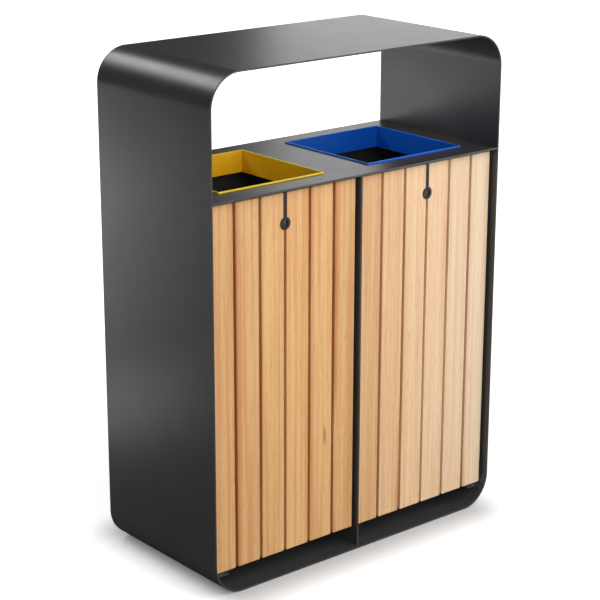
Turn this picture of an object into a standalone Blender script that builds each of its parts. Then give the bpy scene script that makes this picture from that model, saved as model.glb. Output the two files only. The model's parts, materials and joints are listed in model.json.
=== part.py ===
"""Twin litter bin: a loop of sheet steel round two bays, each with a chute, a liner and a slatted door.

The frame is +X to the viewer's right, -Y to the front and +Z up. The origin is on the ground, under
the middle of the bin. The left bay is the one at -X, and the right bay mirrors its layout.
"""

import math

import bmesh
import bpy
from mathutils import Matrix, Vector

# Driving dimensions, in metres.
WIDTH = 0.900
DEPTH = 0.435
HEIGHT = 1.245
CORNER_RADIUS = 0.082
FRAME_SHEET = 0.004
FRONT_Y = -DEPTH / 2
BACK_Y = DEPTH / 2
GAP = 0.0003

# Deck, divider and rear panel.
DECK_TOP_Z = 0.958
DECK_SHEET = 0.005
DIVIDER_SHEET = 0.005
DIVIDER_SETBACK = 0.0066
REAR_SHEET = 0.0025
REAR_SETBACK = 0.001
REAR_GAP = 0.0008
SHEET_MARGIN = 0.0005
ANCHOR_RADIUS = 0.0065
ANCHOR_X = 0.345
ANCHOR_Y = (-0.05, 0.15)

# Chutes, one over each bay.
CHUTE_HALF_X = 0.156
CHUTE_HALF_Y = 0.1555
CHUTE_CENTRE_Y = 0.0025
CHUTE_WALL = 0.003
CHUTE_PROUD = 0.003
CHUTE_HEIGHT = 0.055
CHUTE_TAPER = 0.003

# Doors: six slats on a steel frame, hung at the outer edge on a pin above and a pin below.
DOOR_HALF_WIDTH = 0.2145
DOOR_FACE_Y = -0.199
DOOR_BOTTOM_Z = 0.0545
DOOR_TOP_Z = 0.946
SLAT_COUNT = 6
SLAT_PITCH = 0.074
SLAT_GAP = 0.0075
SLAT_THICKNESS = 0.018
SLAT_ROUND = 0.002
DOOR_FRAME_INSET = 0.004
DOOR_FRAME_SHEET = 0.003
DOOR_FRAME_DEPTH = 0.015
DOOR_FRAME_BORDER = 0.025
DOOR_FRAME_OVERHANG = 0.003
DOOR_RAIL_HEIGHT = 0.040
DOOR_RAIL_Z = 0.480
DOOR_LEG_INSET = 0.0005

# Hinge pins and bushes, inside the ends of the outermost slat.
PIVOT_FROM_EDGE = 0.020
PIVOT_BEHIND_FACE = 0.008
PIN_RADIUS = 0.004
PIN_LENGTH = 0.020
PIN_BASE_RADIUS = 0.008
PIN_BASE = 0.0015
BUSH_BORE_RADIUS = 0.0043
BUSH_RADIUS = 0.006
BUSH_FLANGE_RADIUS = 0.0075
BUSH_FLANGE = 0.0015
BUSH_LENGTH = 0.0195
BUSH_HOLE_RADIUS = 0.0063
BUSH_HOLE_DEPTH = 0.020
EAR_SHEET = 0.0025
EAR_OUTWARD = 0.014
EAR_INWARD = 0.030
HINGE_TAB_TOP_Z = 0.0475
HINGE_TAB_SHEET = 0.004
HINGE_TAB_INNER = 0.021

# Lock: a keyhole-shaped plate in the middle gap of a door, a turning core and a long cam.
LOCK_Z = 0.872
LOCK_DISC_RADIUS = 0.015
LOCK_STRIP_HALF = 0.0049
LOCK_PLATE_SHEET = 0.004
LOCK_PLATE_RECESS = 0.0008
NOTCH_MARGIN = 0.0005
LOCK_BORE_RADIUS = 0.0084
LOCK_BODY_RADIUS = 0.012
LOCK_SHOULDER_RADIUS = 0.0147
LOCK_SHOULDER = 0.002
LOCK_TAB_HALF = 0.022
LOCK_TAB_BELOW = 0.020
LOCK_TAB_SHEET = 0.0025
CORE_RADIUS = 0.008
CORE_RECESS = 0.003
CORE_STUD_RADIUS = 0.0045
SPINDLE_RADIUS = 0.004
LOCK_BODY_BACK_Y = -0.1695
CORE_BACK_Y = -0.164
CAM_FRONT_Y = -0.159
CAM_SHEET = 0.003
CAM_HUB_RADIUS = 0.010
CAM_HUB_TURN = 100
CAM_TIP_RADIUS = 0.007
CAM_LENGTH = 0.059
SPINDLE_BACK_Y = -0.1545
KEEPER_FRONT_Y = -0.1645
KEEPER_SHEET = 0.004
KEEPER_HALF_WIDTH = 0.025
KEEPER_BOTTOM_Z = 0.925
KEEPER_CHAMFER = 0.006

# Door stops on the divider, each with a rubber buffer.
STOP_Z = 0.620
STOP_HEIGHT = 0.040
STOP_SHEET = 0.003
STOP_REACH = 0.0332
STOP_FRONT_Y = -0.156
STOP_LEG = 0.045
BUFFER_RADIUS = 0.007
BUFFER_X = 0.028

# Deck brackets: angles on the side walls under the ends of the deck.
ANGLE_LEG = 0.030
ANGLE_SHEET = 0.003
ANGLE_FRONT_Y = -0.140
ANGLE_BACK_Y = 0.195

# Liners, their stands and their drop handles.
LINER_HALF_X = 0.180
LINER_HALF_Y = 0.165
LINER_CENTRE_Y = 0.017
LINER_WALL = 0.0012
LINER_CORNER = 0.030
LINER_CORNER_SEGMENTS = 6
LINER_TOP_Z = 0.850
LINER_RIM = 0.008
LINER_RIM_DROP = 0.006
STAND_HALF_WIDTH = 0.100
STAND_TOP_Z = 0.0548
STAND_SHEET = 0.002
STAND_FLANGE = 0.020
STAND_FRONT_Y = -0.070
STAND_BACK_Y = 0.180
HANDLE_Z = 0.780
HANDLE_OFF_WALL = 0.0065
HANDLE_HALF_WIDTH = 0.048
HANDLE_PIN_INNER = 0.034
HANDLE_DROP = 0.030
HANDLE_CORNER = 0.006
HANDLE_WIRE_RADIUS = 0.003
HANDLE_HOLE_RADIUS = 0.0036
LUG_CENTRE = 0.039
LUG_SHEET = 0.003
LUG_REACH = 0.0110
LUG_HEIGHT = 0.012
HANDLE_BASE_SHEET = 0.002

# Values worked out from the driving dimensions.
INNER_X = WIDTH / 2 - FRAME_SHEET
INNER_RADIUS = CORNER_RADIUS - FRAME_SHEET
DECK_BOTTOM_Z = DECK_TOP_Z - DECK_SHEET
DECK_BACK_Y = BACK_Y - REAR_SETBACK - REAR_SHEET - REAR_GAP
BAY_CENTRE = (INNER_X + DIVIDER_SHEET / 2) / 2
SLAT_BACK_Y = DOOR_FACE_Y + SLAT_THICKNESS
FRAME_FACE_Y = SLAT_BACK_Y + GAP
FRAME_BOTTOM_Z = DOOR_BOTTOM_Z - DOOR_FRAME_OVERHANG
FRAME_TOP_Z = DOOR_TOP_Z + DOOR_FRAME_OVERHANG
PIVOT_X = BAY_CENTRE + DOOR_HALF_WIDTH - PIVOT_FROM_EDGE
PIVOT_Y = DOOR_FACE_Y + PIVOT_BEHIND_FACE
NOTCH_RADIUS = LOCK_DISC_RADIUS + NOTCH_MARGIN
NOTCH_HALF = LOCK_STRIP_HALF + NOTCH_MARGIN
LOCK_FACE_Y = DOOR_FACE_Y + LOCK_PLATE_RECESS
LOCK_BODY_FRONT_Y = LOCK_FACE_Y + LOCK_PLATE_SHEET + GAP

# How finely round shapes are divided: steps are in degrees.
WELD = 0.000002
ROUND_SIDES = 20
FINE_SIDES = 12
STUD_SIDES = 3
BEND_STEP = 7.5
ARC_STEP = 15
SHARP_ANGLE = math.radians(35)
LYING = (0.0, 0.0, 0.0)
FACING_FRONT = (math.radians(90), 0.0, 0.0)
FACING_SIDE = (math.radians(90), 0.0, math.radians(90))

MATERIALS = {
    "powder_coat": ((0.042, 0.044, 0.048), 0.42, 0.35),
    "larch": ((0.62, 0.40, 0.21), 0.55, 0.0),
    "yellow_coat": ((0.72, 0.42, 0.01), 0.38, 0.0),
    "blue_coat": ((0.004, 0.085, 0.38), 0.38, 0.0),
    "galvanised_steel": ((0.47, 0.49, 0.50), 0.45, 0.9),
    "stainless_steel": ((0.30, 0.31, 0.31), 0.32, 1.0),
    "black_nylon": ((0.02, 0.02, 0.02), 0.55, 0.0),
    "black_rubber": ((0.015, 0.015, 0.015), 0.8, 0.0),
}


def clear_scene():
    for thing in list(bpy.data.objects):
        bpy.data.objects.remove(thing, do_unlink=True)


def new_collection(name):
    collection = bpy.data.collections.new(name)
    bpy.context.scene.collection.children.link(collection)
    return collection


def make_material(name):
    """A Principled material of the given colour, roughness and metallic value."""
    colour, roughness, metallic = MATERIALS[name]
    material = bpy.data.materials.get(name) or bpy.data.materials.new(name)
    material.use_nodes = True
    shader = material.node_tree.nodes["Principled BSDF"]
    shader.inputs["Base Color"].default_value = (*colour, 1.0)
    shader.inputs["Roughness"].default_value = roughness
    shader.inputs["Metallic"].default_value = metallic
    return material


def add_part(name, data, material_name, location=(0, 0, 0), rotation=LYING):
    part = bpy.data.objects.new(name, data)
    part.location = location
    part.rotation_euler = rotation
    data.materials.append(make_material(material_name))
    PARTS.objects.link(part)
    return part


def as_guide(part):
    """Turns a part into a cutter, or into a piece that is only joined to another."""
    PARTS.objects.unlink(part)
    CUTTERS.objects.link(part)
    part.hide_render = True
    part.display_type = "WIRE"
    return part


def combine(part, other, operation):
    modifier = part.modifiers.new(f"{operation.lower()} {other.name}", "BOOLEAN")
    modifier.operation = operation
    modifier.solver = "EXACT"
    modifier.object = as_guide(other)


def shade_round(mesh):
    """Smooth shading on round faces, with the corners kept sharp."""
    mesh.shade_smooth()
    mesh.set_sharp_from_angle(angle=SHARP_ANGLE)


def round_edges(part, width, segments=2):
    modifier = part.modifiers.new("rounded edges", "BEVEL")
    modifier.width = width
    modifier.segments = segments
    modifier.limit_method = "ANGLE"
    modifier.angle_limit = math.radians(50)


def attach(part, pivot):
    """Parents a part to an empty and leaves it where it is: an empty here only has a location."""
    part.parent = pivot
    part.matrix_parent_inverse = Matrix.Translation(-Vector(pivot.location))


def make_pivot(name, location):
    """An empty on a joint's axis, for the pieces that turn about it."""
    pivot = bpy.data.objects.new(name, None)
    pivot.empty_display_size = 0.03
    pivot.location = location
    PARTS.objects.link(pivot)
    return pivot


# Outlines, as lists of points in the plane.


def rectangle(x0, y0, x1, y1):
    return [(x0, y0), (x1, y0), (x1, y1), (x0, y1)]


def arc(centre, radius, start, end, step=ARC_STEP):
    """Points on an arc, angles in degrees, both ends included."""
    segments = max(1, round(abs(end - start) / step))
    angles = [math.radians(start + (end - start) * i / segments) for i in range(segments + 1)]
    return [(centre[0] + radius * math.cos(a), centre[1] + radius * math.sin(a)) for a in angles]


def circle(centre, radius, sides=ROUND_SIDES):
    return arc(centre, radius, 0, 360, 360 / sides)[:-1]


def rounded_rectangle(half_x, half_y, radius):
    points = []
    for quarter, (sign_x, sign_y) in enumerate(((1, 1), (-1, 1), (-1, -1), (1, -1))):
        centre = (sign_x * (half_x - radius), sign_y * (half_y - radius))
        points += arc(centre, radius, 90 * quarter, 90 * quarter + 90, BEND_STEP)
    return points


def angle_profile(leg_x, leg_y, sheet):
    """An L with its corner at the origin, one leg along X and one along Y; a leg's sign is its side."""
    side_x = math.copysign(sheet, leg_x)
    side_y = math.copysign(sheet, leg_y)
    return [(0, 0), (leg_x, 0), (leg_x, side_y), (side_x, side_y), (side_x, leg_y), (0, leg_y)]


# Solids.


def plate(name, outlines, thickness, material, location=(0, 0, 0), rotation=LYING):
    """A flat piece: an outer outline and any holes, with its thickness centred on its plane."""
    curve = bpy.data.curves.new(name, "CURVE")
    curve.dimensions = "2D"
    curve.fill_mode = "BOTH"
    curve.extrude = thickness / 2
    for outline in outlines:
        spline = curve.splines.new("POLY")
        spline.points.add(len(outline) - 1)
        for point, (x, y) in zip(spline.points, outline):
            point.co = (x, y, 0, 1)
        spline.use_cyclic_u = True
    outline_object = bpy.data.objects.new(name + " outline", curve)
    PARTS.objects.link(outline_object)
    evaluated = outline_object.evaluated_get(bpy.context.evaluated_depsgraph_get())
    mesh = bpy.data.meshes.new_from_object(evaluated)
    mesh.name = name
    bpy.data.objects.remove(outline_object)
    shape = bmesh.new()
    shape.from_mesh(mesh)
    bmesh.ops.remove_doubles(shape, verts=shape.verts, dist=WELD)
    bmesh.ops.recalc_face_normals(shape, faces=shape.faces)
    shape.to_mesh(mesh)
    shape.free()
    shade_round(mesh)
    return add_part(name, mesh, material, location, rotation)


def block(name, lowest, highest, material):
    """A rectangular block between two corners."""
    size = [high - low for low, high in zip(lowest, highest)]
    middle = [(high + low) / 2 for low, high in zip(lowest, highest)]
    shape = bmesh.new()
    bmesh.ops.create_cube(shape, size=1, matrix=Matrix.Diagonal((*size, 1)))
    mesh = bpy.data.meshes.new(name)
    shape.to_mesh(mesh)
    shape.free()
    return add_part(name, mesh, material, middle)


def rod(name, radius, length, material, location, rotation=LYING, sides=ROUND_SIDES):
    """A solid cylinder about its own Z axis."""
    shape = bmesh.new()
    bmesh.ops.create_cone(
        shape, cap_ends=True, segments=sides, radius1=radius, radius2=radius, depth=length
    )
    mesh = bpy.data.meshes.new(name)
    shape.to_mesh(mesh)
    shape.free()
    shade_round(mesh)
    return add_part(name, mesh, material, location, rotation)


def turned(name, profile, closed, material, location=(0, 0, 0), rotation=LYING):
    """A turned piece. Its profile of (radius, height) runs down the outer side; a closed one is a ring."""
    mesh = bpy.data.meshes.new(name)
    corners = [(radius, 0, height) for radius, height in profile]
    edges = [(step, step + 1) for step in range(len(corners) - 1)]
    if closed:
        edges.append((len(corners) - 1, 0))
    mesh.from_pydata(corners, edges, [])
    part = add_part(name, mesh, material, location, rotation)
    modifier = part.modifiers.new("turned", "SCREW")
    modifier.steps = ROUND_SIDES
    modifier.render_steps = ROUND_SIDES
    modifier.use_merge_vertices = True
    modifier.merge_threshold = 0.00001
    return part


def shell(half_x, half_y, bottom_z, top_z, has_floor):
    """The outer surface of an upright box, open at the top, as a bmesh."""
    shape = bmesh.new()
    size = Matrix.Diagonal((2 * half_x, 2 * half_y, top_z - bottom_z, 1))
    bmesh.ops.create_cube(shape, size=1, matrix=size)
    bmesh.ops.translate(shape, verts=shape.verts, vec=(0, 0, (top_z + bottom_z) / 2))
    flat = [face for face in shape.faces if abs(face.normal.z) > 0.5]
    removed = [face for face in flat if face.normal.z > 0 or not has_floor]
    bmesh.ops.delete(shape, geom=removed, context="FACES_ONLY")
    return shape


def round_corners(shape, radius, segments):
    """Rounds the upright edges of a shell."""
    ends = [(edge, edge.verts[0].co, edge.verts[1].co) for edge in shape.edges]
    upright = [edge for edge, one, other in ends if abs(one.z - other.z) > radius]
    bmesh.ops.bevel(
        shape, geom=upright, offset=radius, segments=segments, profile=0.5, affect="EDGES"
    )


def shell_part(name, shape, material, location):
    """Makes a part of a shell's outer surface, and frees the bmesh."""
    mesh = bpy.data.meshes.new(name)
    shape.to_mesh(mesh)
    shape.free()
    shade_round(mesh)
    return add_part(name, mesh, material, location)


def outward(point, half_x, half_y, corner):
    """The level direction that points straight out of a rounded box at a point of its outline."""
    core_x = max(-(half_x - corner), min(half_x - corner, point.x))
    core_y = max(-(half_y - corner), min(half_y - corner, point.y))
    return Vector((point.x - core_x, point.y - core_y, 0)).normalized()


def thicken(part, wall):
    modifier = part.modifiers.new("sheet", "SOLIDIFY")
    modifier.thickness = wall
    modifier.offset = -1
    modifier.use_even_offset = True
    modifier.use_rim = True


# The body of the bin.


def make_outer_frame():
    """The rounded loop of sheet: both sides, the canopy and the base, with four ground-fixing holes."""
    outside = rounded_rectangle(WIDTH / 2, HEIGHT / 2, CORNER_RADIUS)
    inside = rounded_rectangle(INNER_X, HEIGHT / 2 - FRAME_SHEET, INNER_RADIUS)
    centre = (0, 0, HEIGHT / 2)
    frame = plate("outer_frame", [outside, inside], DEPTH, "powder_coat", centre, FACING_FRONT)
    for side in (-1, 1):
        for y in ANCHOR_Y:
            place = (side * ANCHOR_X, y, FRAME_SHEET / 2)
            cutter = rod("anchor_hole_cutter", ANCHOR_RADIUS, 3 * FRAME_SHEET, "powder_coat", place)
            combine(frame, cutter, "DIFFERENCE")


def make_deck():
    """The deck plate under the canopy, with a square hole for each chute."""
    edge = INNER_X - GAP
    outlines = [rectangle(-edge, FRONT_Y, edge, DECK_BACK_Y)]
    hole_x = CHUTE_HALF_X + SHEET_MARGIN
    hole_y = CHUTE_HALF_Y + SHEET_MARGIN
    for side in (-1, 1):
        x = side * BAY_CENTRE
        y = CHUTE_CENTRE_Y
        outlines.append(rectangle(x - hole_x, y - hole_y, x + hole_x, y + hole_y))
    plate("deck_plate", outlines, DECK_SHEET, "powder_coat", (0, 0, DECK_TOP_Z - DECK_SHEET / 2))


def make_divider():
    half = DIVIDER_SHEET / 2
    lowest = (-half, FRONT_Y + DIVIDER_SETBACK, FRAME_SHEET + GAP)
    block("centre_divider", lowest, (half, DECK_BACK_Y, DECK_BOTTOM_Z - GAP), "powder_coat")


def make_rear_panel():
    """The closing sheet at the back, whose lower corners follow the loop."""
    half = INNER_X - SHEET_MARGIN
    radius = INNER_RADIUS - SHEET_MARGIN
    bottom = FRAME_SHEET + SHEET_MARGIN
    top = DECK_TOP_Z - SHEET_MARGIN
    outline = arc((-half + radius, bottom + radius), radius, 180, 270, BEND_STEP)
    outline += arc((half - radius, bottom + radius), radius, 270, 360, BEND_STEP)
    outline += [(half, top), (-half, top)]
    middle_y = BACK_Y - REAR_SETBACK - REAR_SHEET / 2
    plate("rear_panel", [outline], REAR_SHEET, "powder_coat", (0, middle_y, 0), FACING_FRONT)


def make_deck_bracket(label, side):
    """An angle on the side wall, under the end of the deck."""
    outline = angle_profile(-side * ANGLE_LEG, -ANGLE_LEG, ANGLE_SHEET)
    middle_y = (ANGLE_FRONT_Y + ANGLE_BACK_Y) / 2
    corner = (side * (INNER_X - GAP), middle_y, DECK_BOTTOM_Z - GAP)
    length = ANGLE_BACK_Y - ANGLE_FRONT_Y
    plate(f"deck_bracket_{label}", [outline], length, "powder_coat", corner, FACING_FRONT)


def make_chute(label, side, material):
    """A square sleeve through the deck, standing a little proud of it and narrowing downwards."""
    top = DECK_TOP_Z + CHUTE_PROUD
    bottom = top - CHUTE_HEIGHT
    name = f"chute_{label}"
    shape = shell(CHUTE_HALF_X, CHUTE_HALF_Y, bottom, top, has_floor=False)
    for vertex in shape.verts:
        if vertex.co.z < (top + bottom) / 2:
            vertex.co.x -= math.copysign(CHUTE_TAPER, vertex.co.x)
            vertex.co.y -= math.copysign(CHUTE_TAPER, vertex.co.y)
    part = shell_part(name, shape, material, (side * BAY_CENTRE, CHUTE_CENTRE_Y, 0))
    thicken(part, CHUTE_WALL)


# The liners.


def make_liner(label, side):
    """A galvanised bin with rounded corners and a turned-down rim, open at the top."""
    name = f"liner_{label}"
    bottom = STAND_TOP_Z + GAP
    rim_z = LINER_TOP_Z - LINER_WALL
    shape = shell(LINER_HALF_X, LINER_HALF_Y, bottom, rim_z, has_floor=True)
    round_corners(shape, LINER_CORNER, LINER_CORNER_SEGMENTS)
    for across, down in ((LINER_RIM, 0), (0, LINER_RIM_DROP)):
        border = [edge for edge in shape.edges if edge.is_boundary]
        grown = bmesh.ops.extrude_edge_only(shape, edges=border)["geom"]
        for vertex in [item for item in grown if isinstance(item, bmesh.types.BMVert)]:
            vertex.co += across * outward(vertex.co, LINER_HALF_X, LINER_HALF_Y, LINER_CORNER)
            vertex.co.z -= down
    place = (side * BAY_CENTRE, LINER_CENTRE_Y, 0)
    part = shell_part(name, shape, "galvanised_steel", place)
    thicken(part, LINER_WALL)


def make_liner_stand(label, side):
    """A top-hat channel that the liner slides on, running from front to back."""
    half = STAND_HALF_WIDTH
    foot = FRAME_SHEET + GAP
    outline = [
        (-half - STAND_FLANGE, foot),
        (-half + STAND_SHEET, foot),
        (-half + STAND_SHEET, STAND_TOP_Z - STAND_SHEET),
        (half - STAND_SHEET, STAND_TOP_Z - STAND_SHEET),
        (half - STAND_SHEET, foot),
        (half + STAND_FLANGE, foot),
        (half + STAND_FLANGE, foot + STAND_SHEET),
        (half, foot + STAND_SHEET),
        (half, STAND_TOP_Z),
        (-half, STAND_TOP_Z),
        (-half, foot + STAND_SHEET),
        (-half - STAND_FLANGE, foot + STAND_SHEET),
    ]
    place = (side * BAY_CENTRE, (STAND_FRONT_Y + STAND_BACK_Y) / 2, 0)
    length = STAND_BACK_Y - STAND_FRONT_Y
    plate(f"liner_stand_{label}", [outline], length, "galvanised_steel", place, FACING_FRONT)


def make_handle_bracket(name, wall_x, outer):
    """A base plate with two lugs for a drop handle; outer is the side that it faces."""
    half = LUG_CENTRE + LUG_SHEET / 2
    inside = LUG_CENTRE - LUG_SHEET / 2
    near = outer * GAP
    base = outer * (GAP + HANDLE_BASE_SHEET)
    tip = outer * LUG_REACH
    outline = [
        (near, -half),
        (tip, -half),
        (tip, -inside),
        (base, -inside),
        (base, inside),
        (tip, inside),
        (tip, half),
        (near, half),
    ]
    place = (wall_x, LINER_CENTRE_Y, HANDLE_Z)
    bracket = plate(name, [outline], LUG_HEIGHT, "galvanised_steel", place)
    axle = (wall_x + outer * HANDLE_OFF_WALL, LINER_CENTRE_Y, HANDLE_Z)
    hole = (HANDLE_HOLE_RADIUS, 4 * half, "galvanised_steel", axle, FACING_FRONT, FINE_SIDES)
    combine(bracket, rod("lug_hole_cutter", *hole), "DIFFERENCE")


def make_drop_handle(name, wall_x, outer):
    """A bent wire whose ends turn in the lugs of its bracket; it hangs down at rest."""
    corner = HANDLE_CORNER
    half = HANDLE_HALF_WIDTH
    right = [(HANDLE_PIN_INNER, 0), (half - corner, 0)]
    right += arc((half - corner, -corner), corner, 90, 0)[1:]
    right += arc((half - corner, -HANDLE_DROP + corner), corner, 0, -90)
    path = right + [(-y, z) for y, z in reversed(right)]
    curve = bpy.data.curves.new(name, "CURVE")
    curve.dimensions = "3D"
    curve.bevel_depth = HANDLE_WIRE_RADIUS
    curve.bevel_resolution = 2
    curve.use_fill_caps = True
    spline = curve.splines.new("POLY")
    spline.points.add(len(path) - 1)
    for point, (y, z) in zip(spline.points, path):
        point.co = (0, y, z, 1)
    axle = (wall_x + outer * HANDLE_OFF_WALL, LINER_CENTRE_Y, HANDLE_Z)
    add_part(name, curve, "galvanised_steel", axle)


def make_liner_handles(label, side):
    """A drop handle on each side wall of a liner."""
    for position, outer in (("outer", side), ("inner", -side)):
        wall_x = side * BAY_CENTRE + outer * LINER_HALF_X
        make_handle_bracket(f"handle_bracket_{label}_{position}", wall_x, outer)
        make_drop_handle(f"drop_handle_{label}_{position}", wall_x, outer)


# The doors. In a door, "hinge" is the sign of X that points at the hinge edge.


def slat_edges(index):
    """The left and right edges of a slat, from the middle of its door."""
    middle = SLAT_COUNT // 2
    left = (index - middle) * SLAT_PITCH + SLAT_GAP / 2
    right = (index + 1 - middle) * SLAT_PITCH - SLAT_GAP / 2
    if index == 0:
        left = -DOOR_HALF_WIDTH
    if index == SLAT_COUNT - 1:
        right = DOOR_HALF_WIDTH
    return left, right


def notched_outline(outer_edge):
    """A slat beside the lock: a slot down to a half-round notch, both left for the lock plate."""
    slot_end = LOCK_Z + math.sqrt(NOTCH_RADIUS**2 - NOTCH_HALF**2)
    start = math.degrees(math.asin((slot_end - LOCK_Z) / NOTCH_RADIUS))
    end = -math.degrees(math.acos(SLAT_GAP / 2 / NOTCH_RADIUS))
    outline = [(SLAT_GAP / 2, DOOR_BOTTOM_Z), (outer_edge, DOOR_BOTTOM_Z)]
    outline += [(outer_edge, DOOR_TOP_Z), (NOTCH_HALF, DOOR_TOP_Z)]
    return outline + arc((0, LOCK_Z), NOTCH_RADIUS, start, end)


def make_slats(label, centre_x, hinge, door):
    """Six upright slats; the one at the hinge is bored at both ends for the bushes."""
    middle = SLAT_COUNT // 2
    hinge_index = SLAT_COUNT - 1 if hinge > 0 else 0
    for index in range(SLAT_COUNT):
        left, right = slat_edges(index)
        outline = rectangle(left, DOOR_BOTTOM_Z, right, DOOR_TOP_Z)
        if index == middle:
            outline = notched_outline(right)
        if index == middle - 1:
            outline = [(-x, z) for x, z in notched_outline(-left)]
        name = f"slat_{label}_{index + 1}"
        place = (centre_x, DOOR_FACE_Y + SLAT_THICKNESS / 2, 0)
        slat = plate(name, [outline], SLAT_THICKNESS, "larch", place, FACING_FRONT)
        round_edges(slat, SLAT_ROUND)
        attach(slat, door)
        if index == hinge_index:
            for end_z in (DOOR_BOTTOM_Z, DOOR_TOP_Z):
                bore = (BUSH_HOLE_RADIUS, 2 * BUSH_HOLE_DEPTH, "larch", (door.location.x, PIVOT_Y, end_z))
                combine(slat, rod("bush_bore_cutter", *bore), "DIFFERENCE")


def door_window_outlines():
    """The two windows of a door frame, below and above its middle rail."""
    half = DOOR_HALF_WIDTH - DOOR_FRAME_INSET - DOOR_FRAME_BORDER
    low = FRAME_BOTTOM_Z + DOOR_FRAME_BORDER
    high = FRAME_TOP_Z - DOOR_FRAME_BORDER
    rail_low = DOOR_RAIL_Z - DOOR_RAIL_HEIGHT / 2
    rail_high = DOOR_RAIL_Z + DOOR_RAIL_HEIGHT / 2
    return [rectangle(-half, low, half, rail_low), rectangle(-half, rail_high, half, high)]


def make_door_frame(label, centre_x, hinge, door):
    """A flat steel ring behind the slats with a leg turned back all round, and an ear at each pivot."""
    name = f"door_frame_{label}"
    half = DOOR_HALF_WIDTH - DOOR_FRAME_INSET
    outlines = [rectangle(-half, FRAME_BOTTOM_Z, half, FRAME_TOP_Z)] + door_window_outlines()
    place = (centre_x, FRAME_FACE_Y + DOOR_FRAME_SHEET / 2, 0)
    frame = plate(name, outlines, DOOR_FRAME_SHEET, "powder_coat", place, FACING_FRONT)
    leg = half - DOOR_LEG_INSET
    inner = leg - DOOR_FRAME_SHEET
    low = FRAME_BOTTOM_Z + DOOR_LEG_INSET
    high = FRAME_TOP_Z - DOOR_LEG_INSET
    legs = [rectangle(-leg, low, leg, high)]
    legs.append(rectangle(-inner, low + DOOR_FRAME_SHEET, inner, high - DOOR_FRAME_SHEET))
    leg_front = FRAME_FACE_Y + DOOR_FRAME_SHEET / 2
    leg_back = FRAME_FACE_Y + DOOR_FRAME_DEPTH
    place = (centre_x, (leg_front + leg_back) / 2, 0)
    depth = leg_back - leg_front
    combine(frame, plate(name + "_legs", legs, depth, "powder_coat", place, FACING_FRONT), "UNION")
    tab_front = FRAME_FACE_Y + (DOOR_FRAME_SHEET - LOCK_TAB_SHEET) / 2
    tab_lowest = (centre_x - LOCK_TAB_HALF, tab_front, LOCK_Z - LOCK_TAB_BELOW)
    tab_top = FRAME_TOP_Z - DOOR_FRAME_BORDER / 2
    tab_highest = (centre_x + LOCK_TAB_HALF, tab_front + LOCK_TAB_SHEET, tab_top)
    combine(frame, block(name + "_lock_tab", tab_lowest, tab_highest, "powder_coat"), "UNION")
    lock_place = (centre_x, FRAME_FACE_Y, LOCK_Z)
    lock_hole = (LOCK_BODY_RADIUS + GAP, DOOR_FRAME_DEPTH, "powder_coat", lock_place, FACING_FRONT)
    combine(frame, rod(name + "_lock_cutter", *lock_hole), "DIFFERENCE")
    pivot_x = door.location.x
    x0, x1 = sorted((pivot_x + hinge * EAR_OUTWARD, pivot_x - hinge * EAR_INWARD))
    ear_y = (DOOR_FACE_Y + SHEET_MARGIN, FRAME_FACE_Y + DOOR_FRAME_DEPTH / 2)
    for ear_low in (DOOR_BOTTOM_Z - GAP - EAR_SHEET, DOOR_TOP_Z + GAP):
        lowest = (x0, ear_y[0], ear_low)
        ear = block(name + "_ear", lowest, (x1, ear_y[1], ear_low + EAR_SHEET), "powder_coat")
        combine(frame, ear, "UNION")
    bore = (BUSH_HOLE_RADIUS, HEIGHT, "powder_coat", (pivot_x, PIVOT_Y, HEIGHT / 2))
    combine(frame, rod(name + "_bore_cutter", *bore), "DIFFERENCE")
    attach(frame, door)


def make_hinge_pins(label, pivot_x, hinge):
    """A stud under the deck and a stud on a tab at the foot of the side wall."""
    profile = [
        (0, 0),
        (PIN_BASE_RADIUS, 0),
        (PIN_BASE_RADIUS, -PIN_BASE),
        (PIN_RADIUS, -PIN_BASE),
        (PIN_RADIUS, -PIN_BASE - PIN_LENGTH),
        (0, -PIN_BASE - PIN_LENGTH),
    ]
    top = (pivot_x, PIVOT_Y, DECK_BOTTOM_Z - GAP)
    turned(f"hinge_pin_upper_{label}", profile, False, "stainless_steel", top)
    bottom = (pivot_x, PIVOT_Y, HINGE_TAB_TOP_Z + GAP)
    upside_down = (math.radians(180), 0, 0)
    turned(f"hinge_pin_lower_{label}", profile, False, "stainless_steel", bottom, upside_down)
    tab_bottom = HINGE_TAB_TOP_Z - HINGE_TAB_SHEET
    below_bend = CORNER_RADIUS - tab_bottom
    wall_x = WIDTH / 2 - CORNER_RADIUS + math.sqrt(INNER_RADIUS**2 - below_bend**2) - GAP
    x0, x1 = sorted((hinge * wall_x, pivot_x - hinge * HINGE_TAB_INNER))
    lowest = (x0, DOOR_FACE_Y + 2 * SHEET_MARGIN, tab_bottom)
    highest = (x1, FRAME_FACE_Y + DOOR_FRAME_DEPTH, HINGE_TAB_TOP_Z)
    block(f"hinge_bracket_{label}", lowest, highest, "powder_coat")


def make_hinge_bushes(label, door):
    """Flanged nylon bushes that turn on the pins, in the ears and in the ends of the slat."""
    profile = [
        (BUSH_BORE_RADIUS, BUSH_FLANGE),
        (BUSH_FLANGE_RADIUS, BUSH_FLANGE),
        (BUSH_FLANGE_RADIUS, 0),
        (BUSH_RADIUS, 0),
        (BUSH_RADIUS, -BUSH_LENGTH),
        (BUSH_BORE_RADIUS, -BUSH_LENGTH),
    ]
    top = (door.location.x, PIVOT_Y, DOOR_TOP_Z + 2 * GAP + EAR_SHEET)
    upper = turned(f"hinge_bush_upper_{label}", profile, True, "black_nylon", top)
    bottom = (door.location.x, PIVOT_Y, DOOR_BOTTOM_Z - 2 * GAP - EAR_SHEET)
    upside_down = (math.radians(180), 0, 0)
    lower = turned(f"hinge_bush_lower_{label}", profile, True, "black_nylon", bottom, upside_down)
    attach(upper, door)
    attach(lower, door)


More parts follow.
